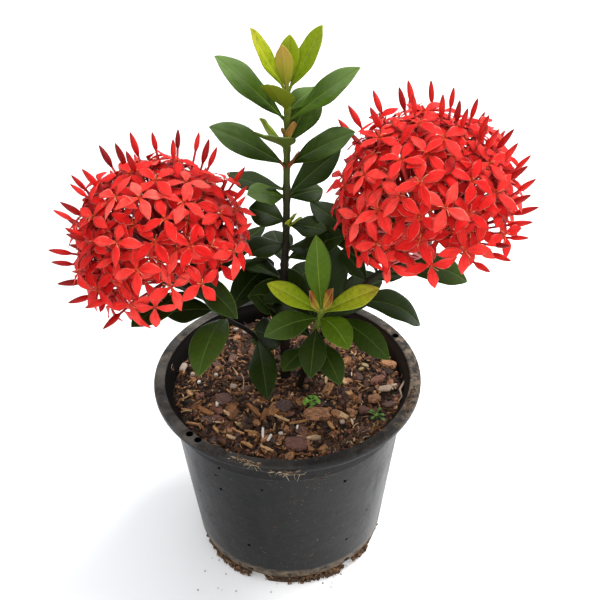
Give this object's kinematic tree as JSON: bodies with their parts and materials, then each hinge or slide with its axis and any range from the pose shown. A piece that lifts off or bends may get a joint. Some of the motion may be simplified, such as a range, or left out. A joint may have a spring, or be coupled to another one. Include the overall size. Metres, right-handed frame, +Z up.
{
  "type": "potted ixora plant",
  "caption": "Young ixora shrub in a round nursery pot: glossy opposite leaves, a leafy leader with pale new growth, and round heads of red four-petalled flowers and buds.",
  "frame": {"origin": "on the pot's axis, at the level of its foot", "axes": "+Z up along the pot's axis; the heads stand to -X and +X; the small leafy side shoot faces -Y"},
  "size_m": [0.258, 0.17, 0.3549],
  "materials": {
    "pot": "charcoal plastic with a soft sheen, dusty, earth on its foot",
    "soil": "bark chips, wood fibre and soil, dull",
    "mature_leaf": "thick glossy leaf, paler midrib",
    "young_leaf": "soft satin new leaf",
    "flower": "waxy satin petals",
    "seedling": "thin fresh leaf"
  },
  "bodies": {
    "root": {"pot": "pot", "potting_mix": "soil", "main_shoot": "mature_leaf", "main_shoot_tip": "young_leaf", "left_shoot": "mature_leaf", "right_shoot": "mature_leaf", "front_shoot": "mature_leaf", "front_shoot_tip": "young_leaf", "left_flower_head": "flower", "right_flower_head": "flower", "weed_seedling_1": "seedling", "weed_seedling_2": "seedling"}
  },
  "joints": []
}
